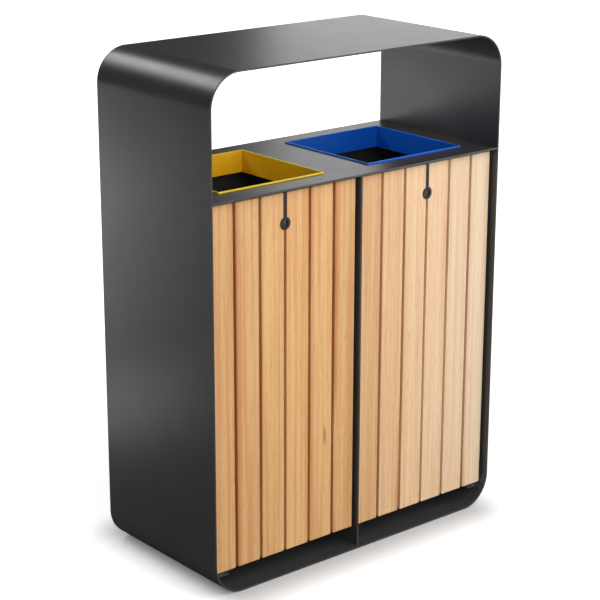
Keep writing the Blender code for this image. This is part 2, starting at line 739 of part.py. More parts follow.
def make_lock(label, centre_x, door):
    """The lock plate and body, which stay with the door, and the core and cam, which turn."""
    disc = LOCK_DISC_RADIUS
    half = LOCK_STRIP_HALF
    start = math.degrees(math.acos(half / disc))
    outline = [(half, DOOR_TOP_Z - GAP), (-half, DOOR_TOP_Z - GAP)]
    outline += arc((0, LOCK_Z), disc, 180 - start, 360 + start)
    hole = circle((0, LOCK_Z), LOCK_BORE_RADIUS)
    place = (centre_x, LOCK_FACE_Y + LOCK_PLATE_SHEET / 2, 0)
    sheet = LOCK_PLATE_SHEET
    cover = plate(
        f"lock_plate_{label}", [outline, hole], sheet, "stainless_steel", place, FACING_FRONT
    )
    shoulder = FRAME_FACE_Y - GAP
    body_profile = [
        (LOCK_BORE_RADIUS, -LOCK_BODY_FRONT_Y),
        (LOCK_BODY_RADIUS, -LOCK_BODY_FRONT_Y),
        (LOCK_BODY_RADIUS, -shoulder + LOCK_SHOULDER),
        (LOCK_SHOULDER_RADIUS, -shoulder + LOCK_SHOULDER),
        (LOCK_SHOULDER_RADIUS, -shoulder),
        (LOCK_BODY_RADIUS, -shoulder),
        (LOCK_BODY_RADIUS, -LOCK_BODY_BACK_Y),
        (LOCK_BORE_RADIUS, -LOCK_BODY_BACK_Y),
    ]
    axis_place = (centre_x, 0, LOCK_Z)
    body = turned(
        f"lock_body_{label}", body_profile, True, "stainless_steel", axis_place, FACING_FRONT
    )
    turning = make_pivot(f"lock_{label}_axis", axis_place)
    attach(turning, door)
    core_front = LOCK_FACE_Y + CORE_RECESS
    core_profile = [
        (0, -core_front),
        (CORE_RADIUS, -core_front),
        (CORE_RADIUS, -CORE_BACK_Y),
        (SPINDLE_RADIUS, -CORE_BACK_Y),
        (SPINDLE_RADIUS, -SPINDLE_BACK_Y),
        (0, -SPINDLE_BACK_Y),
    ]
    core = turned(
        f"lock_core_{label}", core_profile, False, "stainless_steel", axis_place, FACING_FRONT
    )
    stud_front = LOCK_FACE_Y + SHEET_MARGIN
    stud_back = core_front + CORE_RECESS
    stud_place = (centre_x, (stud_front + stud_back) / 2, LOCK_Z)
    stud_size = (CORE_STUD_RADIUS, stud_back - stud_front)
    stud_rest = ("stainless_steel", stud_place, FACING_FRONT, STUD_SIDES)
    combine(core, rod(f"lock_stud_{label}", *stud_size, *stud_rest), "UNION")
    hub = arc((0, 0), CAM_HUB_RADIUS, -CAM_HUB_TURN, CAM_HUB_TURN)
    tip = arc((-CAM_LENGTH, 0), CAM_TIP_RADIUS, 90, 270)
    cam_place = (centre_x, CAM_FRONT_Y + CAM_SHEET / 2, LOCK_Z)
    cam_outlines = [hub + tip, circle((0, 0), SPINDLE_RADIUS + GAP)]
    cam = plate(
        f"lock_cam_{label}", cam_outlines, CAM_SHEET, "galvanised_steel", cam_place, FACING_FRONT
    )
    attach(cover, door)
    attach(body, door)
    attach(core, turning)
    attach(cam, turning)


def make_keeper(label, centre_x):
    """The tab under the deck that the raised cam hooks behind."""
    half = KEEPER_HALF_WIDTH
    low = KEEPER_BOTTOM_Z
    cut = KEEPER_CHAMFER
    top = DECK_BOTTOM_Z - GAP
    outline = [(-half + cut, low), (half - cut, low), (half, low + cut), (half, top)]
    outline += [(-half, top), (-half, low + cut)]
    place = (centre_x, KEEPER_FRONT_Y + KEEPER_SHEET / 2, 0)
    plate(f"lock_keeper_{label}", [outline], KEEPER_SHEET, "powder_coat", place, FACING_FRONT)


def make_door_stop(label, side):
    """An angle on the divider with a rubber buffer that the closing door meets."""
    outline = angle_profile(side * STOP_REACH, STOP_LEG, STOP_SHEET)
    corner = (side * (DIVIDER_SHEET / 2 + GAP), STOP_FRONT_Y, STOP_Z)
    plate(f"door_stop_{label}", [outline], STOP_HEIGHT, "powder_coat", corner)
    back = STOP_FRONT_Y - GAP
    front = FRAME_FACE_Y + DOOR_FRAME_SHEET + GAP
    place = (side * BUFFER_X, (front + back) / 2, STOP_Z)
    rod(f"door_buffer_{label}", BUFFER_RADIUS, back - front, "black_rubber", place, FACING_FRONT)


def make_door(label, side):
    """A door with everything that swings with it; it hangs at the outer edge of its bay."""
    centre_x = side * BAY_CENTRE
    door = make_pivot(f"door_{label}_axis", (side * PIVOT_X, PIVOT_Y, 0))
    make_door_frame(label, centre_x, side, door)
    make_slats(label, centre_x, side, door)
    make_hinge_pins(label, side * PIVOT_X, side)
    make_hinge_bushes(label, door)
    make_lock(label, centre_x, door)
    make_keeper(label, centre_x)
    make_door_stop(label, side)


clear_scene()
PARTS = new_collection("litter_bin")
CUTTERS = new_collection("cutters")
make_outer_frame()
make_deck()
make_divider()
make_rear_panel()
for bay_label, bay_side, chute_material in (("left", -1, "yellow_coat"), ("right", 1, "blue_coat")):
    make_deck_bracket(bay_label, bay_side)
    make_chute(bay_label, bay_side, chute_material)
    make_liner(bay_label, bay_side)
    make_liner_stand(bay_label, bay_side)
    make_liner_handles(bay_label, bay_side)
    make_door(bay_label, bay_side)
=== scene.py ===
"""The looks of the twin litter bin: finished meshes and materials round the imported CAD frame.

Everything is in metres: +X is to the right seen from the front, -Y is the front and +Z is up. Sizes and
places come from the frame's own boxes where they can. Each finished piece stands for one CAD node and
rides on its body; screws, rivets, nuts and clips are extra pieces.
"""

import json
import math

import bmesh
import bpy
from mathutils import Matrix, Vector


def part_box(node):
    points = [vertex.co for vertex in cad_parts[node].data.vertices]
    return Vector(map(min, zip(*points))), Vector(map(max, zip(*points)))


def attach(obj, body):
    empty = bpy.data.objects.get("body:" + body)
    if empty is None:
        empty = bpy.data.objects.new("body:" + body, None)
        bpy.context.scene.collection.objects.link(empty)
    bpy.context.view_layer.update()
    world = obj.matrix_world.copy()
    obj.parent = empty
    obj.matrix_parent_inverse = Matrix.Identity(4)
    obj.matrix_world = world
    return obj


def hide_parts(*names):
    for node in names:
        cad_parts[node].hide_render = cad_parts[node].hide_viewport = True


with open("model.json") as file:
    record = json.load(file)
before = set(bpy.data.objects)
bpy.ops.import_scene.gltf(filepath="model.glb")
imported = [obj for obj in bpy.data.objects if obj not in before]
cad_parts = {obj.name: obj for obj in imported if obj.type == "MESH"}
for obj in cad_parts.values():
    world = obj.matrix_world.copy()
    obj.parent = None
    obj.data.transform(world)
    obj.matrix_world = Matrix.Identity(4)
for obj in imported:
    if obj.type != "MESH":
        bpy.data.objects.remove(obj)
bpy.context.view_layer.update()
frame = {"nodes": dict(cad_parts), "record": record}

BODY_OF = {
    node: body for body, nodes in frame["record"]["behaviour"]["bodies"].items() for node in nodes
}
SIDES = (("left", -1), ("right", 1))
FRONT = (0, -1, 0)
BACK = (0, 1, 0)
UP = (0, 0, 1)
DOWN = (0, 0, -1)

# The air that the CAD leaves between touching pieces, and a hair's breadth for the extra pieces.
JOINT_GAP = 0.0003
HAIR = 0.0001

# Camera and setting.
CAMERA_PLACE = (-2.7844, -3.3017, 1.9533)
CAMERA_TURN = (1.2663, -0.0022, -0.6976)
SENSOR = 36.0
FOCAL_LENGTH = 109.2
FARTHEST = 200
FLOOR_SIZE = 90.0

# The loop, its ground-fixing holes and the chutes. A chute is narrower at its foot by its taper.
FRAME_SHEET = 0.004
FRAME_CORNER = 0.082
SHEET_EDGE = 0.0004
ANCHOR_RADIUS = 0.0065
ANCHOR_PLACES = ((-0.345, -0.05), (-0.345, 0.15), (0.345, -0.05), (0.345, 0.15))
CHUTE_WALL = 0.003
CHUTE_TAPER = 0.003
CHUTE_EDGE = 0.0008
LEAST_CORNER = 0.0008

# Clips that hold the rear panel, and the fixings of the deck brackets.
REAR_CLIP_Z = (0.18, 0.50, 0.86)
REAR_CLIP_X = (-0.33, -0.11, 0.11, 0.33)
CLIP_LEG = 0.020
CLIP_SHEET = 0.0015
CLIP_LENGTH = 0.030
CLIP_RIVET = 0.012
BRACKET_SHEET = 0.003
BRACKET_RIVET_Y = (-0.10, 0.03, 0.16)
BRACKET_RIVET_RISE = 0.012
DECK_BOLT_Y = (-0.07, 0.06)
DECK_BOLT_INSET = 0.014

# Liners, with a rim curled outwards and down and two pressed ribs, and their stands. A rib's section is
# given along the wall and out of it, as shares of half its height and of its depth.
LINER_WALL = 0.0012
LINER_CORNER = 0.030
LINER_RIM = 0.008
LINER_RIM_DROP = 0.006
LINER_FLOOR_BEND = 0.004
RIB_HEIGHTS = (0.30, 0.60)
RIB_DEPTH = 0.002
RIB_HALF = 0.008
RIB_SECTION = ((-1.0, 0.0), (-0.75, 0.3), (-0.35, 1.0), (0.35, 1.0), (0.75, 0.3), (1.0, 0.0))
STAND_SHEET = 0.002
STAND_BOLT_INSET = (0.010, 0.035)

# Doors and locks.
SLAT_COUNT = 6
SLAT_GAP = 0.0075
SLAT_ROUND = 0.002
LOCK_Z = 0.872
NOTCH_RADIUS = 0.0155
NOTCH_HALF = 0.0054
DISC_RADIUS = 0.015
STRIP_HALF = 0.0049
PLATE_SHEET = 0.004
BORE_RADIUS = 0.0084
PIVOT_Y = -0.191
BUSH_HOLE = 0.0063
BUSH_HOLE_DEPTH = 0.020
SCREW_HEIGHTS = (0.0658, 0.480, 0.9348)
DOOR_FRAME_SHEET = 0.003
CAM_LENGTH = 0.059
CAM_HUB = 0.010
CAM_TIP = 0.007
CAM_SHEET = 0.003
CAM_HOLE = 0.0043
CORE_RADIUS = 0.0080
SPINDLE_RADIUS = 0.0040
SPINDLE_LENGTH = 0.0095
BARREL_RADIUS = 0.0120
COLLAR_RADIUS = 0.0147
COLLAR_HEIGHT = 0.0020
COLLAR_EDGE = 0.0002
BARREL_EDGE = 0.0005
CORE_EDGE = 0.0004
DOOR_STOP_SHEET = 0.003

# Drop handles, from the middle of the pin to the wire's bends.
WIRE_RADIUS = 0.003
HANDLE_HALF = 0.048
HANDLE_PIN = 0.034
HANDLE_DROP = 0.030
HANDLE_BEND = 0.006
HANDLE_Z = 0.780
HANDLE_Y = 0.017

# A painted highlight on a chute's rim: how far below the top it starts and is full, and how much it
# lightens.
RIM_HIGHLIGHT_START = 0.0034
RIM_HIGHLIGHT_FULL = 0.0020
RIM_HIGHLIGHT_SHARE = 0.45

# Larch: how wide its year rings are, how far they wander, how far they bulge at a knot, and which part
# of a year darkens to late wood. Then each colour in a board of heartwood, and in a board at full
# painted
# sheen: a paler tint that stands in for glossy light on the boards.
RING_WIDTH = 0.0034
RING_WANDER = 0.030
KNOT_BULGE = 0.009
LATE_START = 0.30
LATE_END = 0.97
ROSE = ((0.71, 0.360, 0.150), (0.86, 0.630, 0.420))
HONEY = ((0.82, 0.520, 0.225), (0.93, 0.740, 0.530))
LATE_WOOD = ((0.47, 0.185, 0.055), (0.64, 0.380, 0.190))
RED_HEART = ((0.55, 0.190, 0.060), (0.70, 0.390, 0.200))
KNOT_TONE = (0.36, 0.150, 0.055)

# Heads of fasteners: (radius, height), and (radius, height, corners) where the ring isn't round.
RIVET = ((0.0045, -0.0002), (0.0045, 0.0001), (0.0041, 0.0005), (0.0030, 0.0008), (0.0016, 0.0009),
         (0.0012, 0.0009), (0.0011, 0.0004))
SCREW = ((0.0046, -0.0002), (0.0046, 0.0007), (0.0042, 0.0015), (0.0034, 0.0020), (0.0025, 0.0022),
         (0.0022, 0.0022, 6), (0.0021, 0.0008, 6))
NUT = ((0.0070, 0.0002, 6), (0.0074, 0.0007, 6), (0.0074, 0.0030, 6), (0.0066, 0.0038),
       (0.0045, 0.0039), (0.0041, 0.0033))
BOLT = ((0.0068, -0.0002), (0.0068, 0.0006), (0.0058, 0.0007, 6), (0.0058, 0.0036, 6),
        (0.0049, 0.0042))

# The lock core's three-sided stud, and the two ends of a buffer, the second measured from its tip.
STUD = ((0.0026, 0.0, 3), (0.0041, 0.0003, 3), (0.0045, 0.0009, 3), (0.0045, 0.0025, 3),
        (0.0048, 0.0025))
BUFFER_FOOT = ((0.0068, 0.0), (0.0070, 0.0003), (0.0070, 0.0030), (0.0064, 0.0036))
BUFFER_DOME = ((0.0062, -0.0040), (0.0056, -0.0018), (0.0042, -0.0006), (0.0022, 0.0))

# Turned profiles of a hinge's pin and bush, each from its flange on: (radius, height).
HINGE_PIN = ((0.0077, 0.0), (0.0080, 0.0003), (0.0080, 0.0012), (0.0077, 0.0015), (0.0043, 0.0015),
             (0.0040, 0.0018), (0.0040, 0.0207), (0.0036, 0.0213), (0.0030, 0.0215))
HINGE_BUSH = ((0.0046, 0.0), (0.0072, 0.0), (0.0075, 0.0003), (0.0075, 0.0012), (0.0072, 0.0015),
              (0.0061, 0.0015), (0.0060, 0.0017), (0.0060, 0.0205), (0.0056, 0.0210),
              (0.0046, 0.0210), (0.0043, 0.0206), (0.0043, 0.0004))

# Widths of the rounded edges of thin, plain and thick pieces.
THIN_EDGE = 0.0004
PLAIN_EDGE = 0.0005
THICK_EDGE = 0.0006

# How finely round shapes are divided, in degrees, and how close points count as one.
BEND_STEP = 4.0
FINE_STEP = 5.0
HUB_STEP = 6.0
ROUND_STEP = 7.5
TIP_STEP = 8.0
COARSE_STEP = 10.0
HEAD_STEP = 15.0
EDGE_STEP = 30.0
WELD = 1e-7
WELD_CAD = 1e-6
WELD_PLATE = 2e-6

# Angles in degrees: edges are shaded sharp or rounded above the first two, and faces that meet at less
# than one of the last two lie in one plane.
SHARP_ANGLE = 50
ROUNDED_ANGLE = 40
FLAT_ANGLE_CAD = 1
FLAT_ANGLE_PLATE = 0.5

# How strongly a large face draws the normals at its corners to its own; 50 is neutral.
FLAT_FACE_WEIGHT = 90


# Placing and finishing pieces.


def smooth(piece):
    """Smooth shading in which the large flat faces keep their own normals."""
    piece.data.shade_smooth()
    piece.data.set_sharp_from_angle(angle=math.radians(SHARP_ANGLE))
    weighted = piece.modifiers.new("weighted normals", "WEIGHTED_NORMAL")
    weighted.keep_sharp = True
    weighted.weight = FLAT_FACE_WEIGHT


def soften(piece, width, segments=3):
    """Rounds the piece's sharp edges."""
    bevel = piece.modifiers.new("soft edges", "BEVEL")
    bevel.width = width
    bevel.segments = segments
    bevel.limit_method = "ANGLE"
    bevel.angle_limit = math.radians(ROUNDED_ANGLE)


def new_piece(name, mesh, material):
    piece = bpy.data.objects.new(name, mesh)
    bpy.context.scene.collection.objects.link(piece)
    mesh.materials.clear()
    mesh.materials.append(material)
    return piece


def stand_for(piece, node):
    """The piece takes the place of a CAD node, on its body; the node is hidden."""
    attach(piece, BODY_OF[node])
    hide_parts(node)


def bake_modifiers(piece):
    """Replaces the piece's mesh by what its modifiers make of it."""
    bpy.context.view_layer.update()
    evaluated = piece.evaluated_get(bpy.context.evaluated_depsgraph_get())
    mesh = bpy.data.meshes.new_from_object(evaluated)
    mesh.name = piece.name
    piece.modifiers.clear()
    piece.data = mesh


def bore(piece, radius, length, places):
    """Cuts upright round holes, each centred on its place."""
    rings = ((radius, -length / 2), (radius, length / 2))
    cutter = bpy.data.objects.new("cutter", turned_mesh("cutter", rings, places, UP))
    bpy.context.scene.collection.objects.link(cutter)
    cut = piece.modifiers.new("bore", "BOOLEAN")
    cut.operation = "DIFFERENCE"
    cut.solver = "EXACT"
    cut.object = cutter
    bake_modifiers(piece)
    bpy.data.objects.remove(cutter)


# Outlines and lofts.


def arc(centre, radius, start, end, step):
    """Points on an arc, angles in degrees, both ends included."""
    count = max(1, round(abs(end - start) / step))
    turns = [math.radians(start + (end - start) * i / count) for i in range(count + 1)]
    return [(centre[0] + radius * math.cos(a), centre[1] + radius * math.sin(a)) for a in turns]


def rounded_rectangle(half_x, half_y, radius, step=BEND_STEP):
    """An outline about the origin, anticlockwise from the upper end of its right side."""
    points = []
    for quarter, (sign_x, sign_y) in enumerate(((1, 1), (-1, 1), (-1, -1), (1, -1))):
        centre = (sign_x * (half_x - radius), sign_y * (half_y - radius))
        points += arc(centre, radius, 90 * quarter, 90 * quarter + 90, step)
    return points


def join_rings(shape, rows, wrap):
    """Faces between rings of vertices; unless it wraps, its end rings are capped."""
    pairs = list(zip(rows, rows[1:]))
    if wrap:
        pairs.append((rows[-1], rows[0]))
    count = len(rows[0])
    for one, other in pairs:
        for i in range(count):
            j = (i + 1) % count
            shape.faces.new((one[i], one[j], other[j], other[i]))
    if not wrap:
        shape.faces.new(rows[0])
        shape.faces.new(rows[-1])


def loft(name, lofts, wrap):
    """A mesh of one or more closed lofts, each through rings of as many points."""
    shape = bmesh.new()
    for rings in lofts:
        join_rings(shape, [[shape.verts.new(point) for point in ring] for ring in rings], wrap)
    bmesh.ops.remove_doubles(shape, verts=shape.verts, dist=WELD)
    bmesh.ops.recalc_face_normals(shape, faces=shape.faces)
    mesh = bpy.data.meshes.new(name)
    shape.to_mesh(mesh)
    shape.free()
    return mesh


def swept_rectangle(name, profile, half_x, half_y, radius, matrix, wrap, step):
    """Carries a profile of (outward offset, height) round a rounded rectangle."""
    rings = []
    for offset, height in profile:
        corner = max(LEAST_CORNER, radius + offset)
        outline = rounded_rectangle(half_x + offset, half_y + offset, corner, step)
        rings.append([matrix @ Vector((x, y, height)) for x, y in outline])
    return loft(name, [rings], wrap)


def merged(name, meshes):
    """One mesh of several."""
    shape = bmesh.new()
    for mesh in meshes:
        shape.from_mesh(mesh)
        bpy.data.meshes.remove(mesh)
    mesh = bpy.data.meshes.new(name)
    shape.to_mesh(mesh)
    shape.free()
    return mesh


def polygon_radius(angle, radius, corners):
    """How far the rim lies from the middle: a circle for 0 corners, else a regular polygon's side."""
    if corners == 0:
        return radius
    wedge = 2 * math.pi / corners
    return radius * math.cos(wedge / 2) / math.cos(angle % wedge - wedge / 2)


def turned_mesh(name, rings, places, axis, wrap=False, step=ROUND_STEP):
    """Turned shapes along an axis: rings are (radius, height) or (radius, height, corners)."""
    count = round(360 / step)
    turn = Vector((0, 0, 1)).rotation_difference(Vector(axis)).to_matrix()
    lofts = []
    for place in places:
        rows = []
        for ring in rings:
            radius, height, corners = (*ring, 0)[:3]
            row = []
            for i in range(count):
                angle = 2 * math.pi * i / count
                out = polygon_radius(angle, radius, corners)
                spot = Vector((out * math.cos(angle), out * math.sin(angle), height))
                row.append(turn @ spot + Vector(place))
            rows.append(row)
        lofts.append(rows)
    return loft(name, lofts, wrap)


def turned(node, rings, place, axis, material, wrap=False, step=ROUND_STEP):
    """A turned piece that stands for a node."""
    name = node + "_finished"
    piece = new_piece(name, turned_mesh(name, rings, [place], axis, wrap, step), material)
    smooth(piece)
    stand_for(piece, node)


def fasteners(name, rings, places, axis, body, material, step=HEAD_STEP):
    """Heads of one kind that face the same way, as one extra piece."""
    piece = new_piece(name, turned_mesh(name, rings, places, axis, step=step), material)
    smooth(piece)
    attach(piece, body)


def make_faces_whole(shape, weld, flat_angle):
    """Joins the triangles of each flat face into one face."""
    bmesh.ops.remove_doubles(shape, verts=shape.verts, dist=weld)
    limit = math.radians(flat_angle)
    bmesh.ops.dissolve_limit(shape, angle_limit=limit, verts=shape.verts, edges=shape.edges)


def plate_mesh(name, outlines, thickness, matrix):
    """A flat plate: an outer outline and any holes, centred on its plane, then put in place."""
    curve = bpy.data.curves.new(name, "CURVE")
    curve.dimensions = "2D"
    curve.fill_mode = "BOTH"
    curve.extrude = thickness / 2
    for outline in outlines:
        spline = curve.splines.new("POLY")
        spline.points.add(len(outline) - 1)
        for point, (x, y) in zip(spline.points, outline):
            point.co = (x, y, 0, 1)
        spline.use_cyclic_u = True
    mesh = curve_mesh(name, curve)
    shape = bmesh.new()
    shape.from_mesh(mesh)
    make_faces_whole(shape, WELD_PLATE, FLAT_ANGLE_PLATE)
    bmesh.ops.recalc_face_normals(shape, faces=shape.faces)
    shape.to_mesh(mesh)
    shape.free()
    mesh.transform(matrix)
    return mesh


def curve_mesh(name, curve):
    """The mesh of a curve, which isn't kept."""
    holder = bpy.data.objects.new(name, curve)
    bpy.context.scene.collection.objects.link(holder)
    bpy.context.view_layer.update()
    evaluated = holder.evaluated_get(bpy.context.evaluated_depsgraph_get())
    mesh = bpy.data.meshes.new_from_object(evaluated)
    mesh.name = name
    bpy.data.objects.remove(holder)
    return mesh


def upright(x, y, z):
    """Puts a plate's X and Y on the world's X and Z, with its middle plane at a depth y."""
    return Matrix.Translation((x, y, z)) @ Matrix.Rotation(math.radians(90), 4, "X")


def refined(node, width, material):
    """A finished copy of a CAD node: its flat faces made whole, and its edges rounded."""
    shape = bmesh.new()
    shape.from_mesh(frame["nodes"][node].data)
    make_faces_whole(shape, WELD_CAD, FLAT_ANGLE_CAD)
    mesh = bpy.data.meshes.new(node + "_finished")
    shape.to_mesh(mesh)
    shape.free()
    piece = new_piece(node + "_finished", mesh, material)
    soften(piece, width)
    smooth(piece)
    stand_for(piece, node)


# Material nodes.


class Shader:
    """A Principled material and short calls that add and link its nodes."""

    def __init__(self, name, colour, roughness, metallic=0.0):
        self.material = bpy.data.materials.new(name)
        self.material.use_nodes = True
        self.tree = self.material.node_tree
        self.surface = self.tree.nodes["Principled BSDF"]
        self.surface.inputs["Base Color"].default_value = (*colour, 1)
        self.surface.inputs["Roughness"].default_value = roughness
        self.surface.inputs["Metallic"].default_value = metallic
        self.place = self.tree.nodes.new("ShaderNodeTexCoord").outputs["Object"]

    def link(self, value, socket):
        if isinstance(value, bpy.types.NodeSocket):
            self.tree.links.new(value, socket)
        else:
            socket.default_value = value

    def stretched(self, scale, shift=(0, 0, 0)):
        """Object coordinates, scaled and shifted."""
        node = self.tree.nodes.new("ShaderNodeMapping")
        node.inputs["Location"].default_value = shift
        node.inputs["Scale"].default_value = scale
        self.link(self.place, node.inputs["Vector"])
        return node.outputs["Vector"]

    def noise(self, where, scale, detail=2.0, rough=0.5):
        node = self.tree.nodes.new("ShaderNodeTexNoise")
        node.inputs["Scale"].default_value = scale
        node.inputs["Detail"].default_value = detail
        node.inputs["Roughness"].default_value = rough
        self.link(where, node.inputs["Vector"])
        return node.outputs["Fac"]

    def cells(self, where, scale):
        node = self.tree.nodes.new("ShaderNodeTexVoronoi")
        node.inputs["Scale"].default_value = scale
        self.link(where, node.inputs["Vector"])
        return node.outputs

    def maths(self, kind, one, other=0.0):
        node = self.tree.nodes.new("ShaderNodeMath")
        node.operation = kind
        self.link(one, node.inputs[0])
        self.link(other, node.inputs[1])
        return node.outputs["Value"]

    def ranged(self, value, low, high, to_low, to_high, smooth_steps=False):
        """Carries a value from one range to another, and holds it beyond the ends."""
        node = self.tree.nodes.new("ShaderNodeMapRange")
        if smooth_steps:
            node.interpolation_type = "SMOOTHSTEP"
        self.link(value, node.inputs["Value"])
        limits = {"From Min": low, "From Max": high, "To Min": to_low, "To Max": to_high}
        for name, number in limits.items():
            node.inputs[name].default_value = number
        return node.outputs["Result"]

    def ramp(self, value, stops):
        """A colour between two stops."""
        node = self.tree.nodes.new("ShaderNodeValToRGB")
        for point, (position, colour) in zip(node.color_ramp.elements, stops):
            point.position = position
            point.color = (*colour, 1)
        self.link(value, node.inputs["Fac"])
        return node.outputs["Color"]

    def mix(self, share, one, other):
        """Mixes two colours, which are a Mix node's inputs 6 and 7 and make its output 2."""
        node = self.tree.nodes.new("ShaderNodeMix")
        node.data_type = "RGBA"
        self.link(share, node.inputs[0])
        for value, socket in ((one, node.inputs[6]), (other, node.inputs[7])):
            self.link((*value, 1) if isinstance(value, tuple) else value, socket)
        return node.outputs[2]

    def split(self, where):
        node = self.tree.nodes.new("ShaderNodeSeparateXYZ")
        self.link(where, node.inputs["Vector"])
        return node.outputs

    def bump(self, height, distance, strength, under=None):
        node = self.tree.nodes.new("ShaderNodeBump")
        node.inputs["Strength"].default_value = strength
        node.inputs["Distance"].default_value = distance
        self.link(height, node.inputs["Height"])
        if under is not None:
            self.link(under, node.inputs["Normal"])
        return node.outputs["Normal"]

    def set(self, name, value):
        self.link(value, self.surface.inputs[name])


def powder_coat(name, colour, roughness, highlight_rim_z=None):
    """Satin powder coat: a fine orange peel, faint mottling and specks, and slightly rubbed patches.

    highlight_rim_z is the height of a rim whose top band gets a painted highlight, lighter towards its
    top.
    """
    shader = Shader(name, colour, roughness)
    darker = tuple(0.94 * part for part in colour)
    lighter = tuple(min(1.0, 1.06 * part) for part in colour)
    bright = tuple(min(1.0, 1.9 * part + 0.01) for part in colour)
    spots = shader.noise(shader.place, 9.0, 4.0, 0.6)
    tone = shader.mix(shader.ranged(spots, 0.35, 0.65, 0.0, 1.0), darker, lighter)
    speck = shader.noise(shader.place, 900.0, 1.0)
    coat = shader.mix(shader.ranged(speck, 0.62, 0.78, 0.0, 0.22), tone, bright)
    if highlight_rim_z is not None:
        # Painted highlight: the band just below the rim's top is mixed towards a lighter colour.
        height = shader.split(shader.place)[2]
        rim_highlight = shader.ranged(height, highlight_rim_z - RIM_HIGHLIGHT_START, highlight_rim_z - RIM_HIGHLIGHT_FULL, 0.0, RIM_HIGHLIGHT_SHARE)
        coat = shader.mix(rim_highlight, coat, bright)
    shader.set("Base Color", coat)
    rubbed = shader.noise(shader.place, 16.0, 5.0, 0.6)
    shader.set("Roughness", shader.ranged(rubbed, 0.3, 0.7, roughness - 0.012, roughness + 0.016))
    peel = shader.noise(shader.place, 420.0, 2.0)
    grit = shader.noise(shader.place, 2400.0, 1.0)
    shader.set("Normal", shader.bump(grit, 0.00003, 0.35, shader.bump(peel, 0.0001, 0.22)))
    return shader.material


def board_colour(pair, tone, painted_sheen):
    """A colour between that of heartwood and its paler painted-sheen tint, by painted_sheen, at the
    board's brightness.
    """
    return tuple(tone * ((1 - painted_sheen) * dark + painted_sheen * light) for dark, light in zip(*pair))


def year_rings(shader, pith, bend, near_knot):
    """Growth rings about the pith line: they darken towards late wood, then start again."""
    east, north, _ = shader.split(shader.place)
    across = shader.maths("SUBTRACT", east, pith[0])
    away = shader.maths("SUBTRACT", north, pith[1])
    squares = [shader.maths("MULTIPLY", part, part) for part in (across, away)]
    radius = shader.maths("SQRT", shader.maths("ADD", *squares))
    wandering = shader.maths("ADD", radius, shader.maths("MULTIPLY", bend, RING_WANDER))
    wandering = shader.maths("ADD", wandering, shader.maths("MULTIPLY", near_knot, KNOT_BULGE))
    year = shader.maths("FRACT", shader.maths("MULTIPLY", wandering, 1 / RING_WIDTH))
    latewood = shader.ranged(year, LATE_START, LATE_END, 0.0, 1.0, smooth_steps=True)
    return shader.maths("SUBTRACT", latewood, shader.ranged(year, LATE_END, 1.0, 0.0, 1.0))


def larch(name, pith, edge, shift, tone, painted_sheen, flush):
    """Planed and oiled larch: growth rings, long soft streaks, fibres, pores and small knots.

    pith is where the ring centre lies in plan, and edge is the X of the slat's redder edge. shift moves
    the patterns, tone is the board's own brightness, painted_sheen is how far the board is paled by a
    painted sheen that stands in for glossy light, and flush how much red heartwood.
    """
    rose, honey, late, red = (
        board_colour(pair, tone, painted_sheen) for pair in (ROSE, HONEY, LATE_WOOD, RED_HEART)
    )
    shader = Shader(name, honey, 0.5)
    slow = shader.stretched((6.0, 6.0, 0.55), (shift, 0.37 * shift, 0.71 * shift))
    bend = shader.maths("SUBTRACT", shader.noise(slow, 1.0, 3.0, 0.5), 0.5)
    knot = shader.cells(shader.stretched((9.0, 4.0, 1.9), (0.9 * shift, 0.3, 1.3 * shift)), 1.0)
    near_knot = shader.ranged(knot["Distance"], 0.0, 0.16, 1.0, 0.0, smooth_steps=True)
    ring = year_rings(shader, pith, bend, near_knot)

    along = shader.stretched((85.0, 30.0, 1.3), (1.7 * shift, shift, 0.4 * shift))
    streaks = shader.noise(along, 1.0, 4.0, 0.6)
    streaked = shader.mix(shader.ranged(streaks, 0.38, 0.62, 0.0, 1.0), rose, honey)
    ringed = shader.mix(shader.maths("MULTIPLY", ring, 0.20), streaked, late)
    thin = shader.noise(shader.stretched((260.0, 120.0, 3.0), (shift, 0.0, 0.6 * shift)), 1.0, 3.0, 0.6)
    lined = shader.mix(shader.ranged(thin, 0.54, 0.74, 0.0, 0.45), ringed, late)

    from_edge = shader.maths("ABSOLUTE", shader.maths("SUBTRACT", shader.split(shader.place)[0], edge))
    at_edge = shader.ranged(from_edge, 0.001, 0.016, 1.0, 0.0, smooth_steps=True)
    patchy = shader.ranged(shader.noise(slow, 2.2, 3.0, 0.55), 0.40, 0.62, 0.0, flush)
    flushed = shader.mix(shader.maths("MULTIPLY", at_edge, patchy), lined, red)

    fibre = shader.noise(shader.stretched((1500.0, 900.0, 22.0), (0, 0, shift)), 1.0, 2.0, 0.6)
    fibred = shader.mix(shader.ranged(fibre, 0.35, 0.75, 0.0, 0.20), flushed, late)
    pores = shader.noise(shader.stretched((520.0, 300.0, 30.0), (shift, 0.0, 0.3 * shift)), 1.0, 1.0)
    flecked = shader.mix(shader.ranged(pores, 0.60, 0.76, 0.0, 0.55), fibred, late)

    heart = shader.ranged(knot["Distance"], 0.030, 0.075, 1.0, 0.0, smooth_steps=True)
    chosen = shader.ranged(shader.split(knot["Color"])[0], 0.66, 0.70, 0.0, 0.85)
    shader.set("Base Color", shader.mix(shader.maths("MULTIPLY", heart, chosen), flecked, KNOT_TONE))
    shader.set("Roughness", shader.ranged(fibre, 0.3, 0.8, 0.44, 0.62))
    grain = shader.bump(fibre, 0.00025, 0.35)
    shader.set("Normal", shader.bump(ring, 0.00018, 0.30, grain))
    return shader.material


